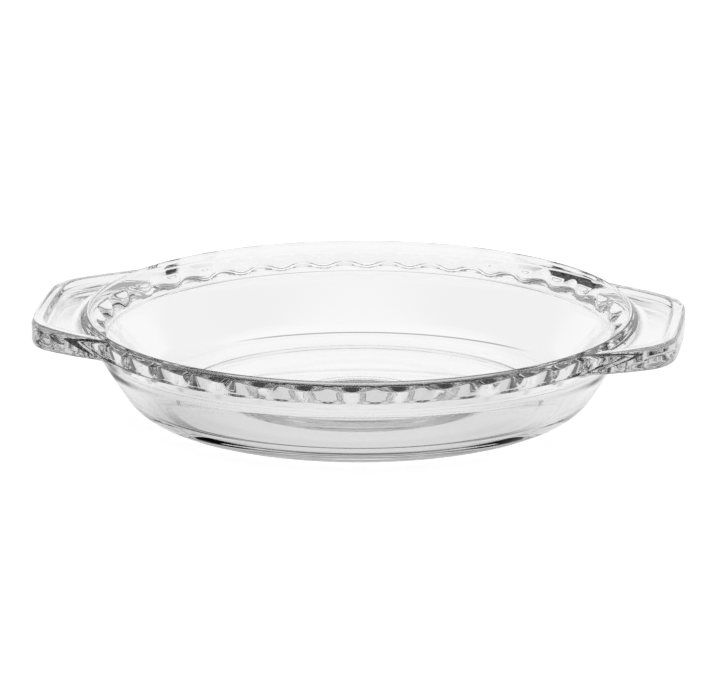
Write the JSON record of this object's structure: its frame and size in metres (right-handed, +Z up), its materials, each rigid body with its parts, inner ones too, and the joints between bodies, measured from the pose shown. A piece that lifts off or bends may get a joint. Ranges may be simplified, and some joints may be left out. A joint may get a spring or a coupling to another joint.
{
  "type": "pie dish",
  "caption": "Round deep pie dish of clear glass with a crimped inner rim, sloping wall, low foot and two tab handles with sunk panels.",
  "frame": {"origin": "on the table, under the centre of the dish", "axes": "+Z up, +X through the two handles, +Y across them"},
  "size_m": [0.287, 0.243, 0.0445],
  "materials": {
    "clear_glass": "clear pressed glass, fire-polished smooth"
  },
  "bodies": {
    "root": {"pie_dish": "clear_glass"}
  },
  "joints": []
}
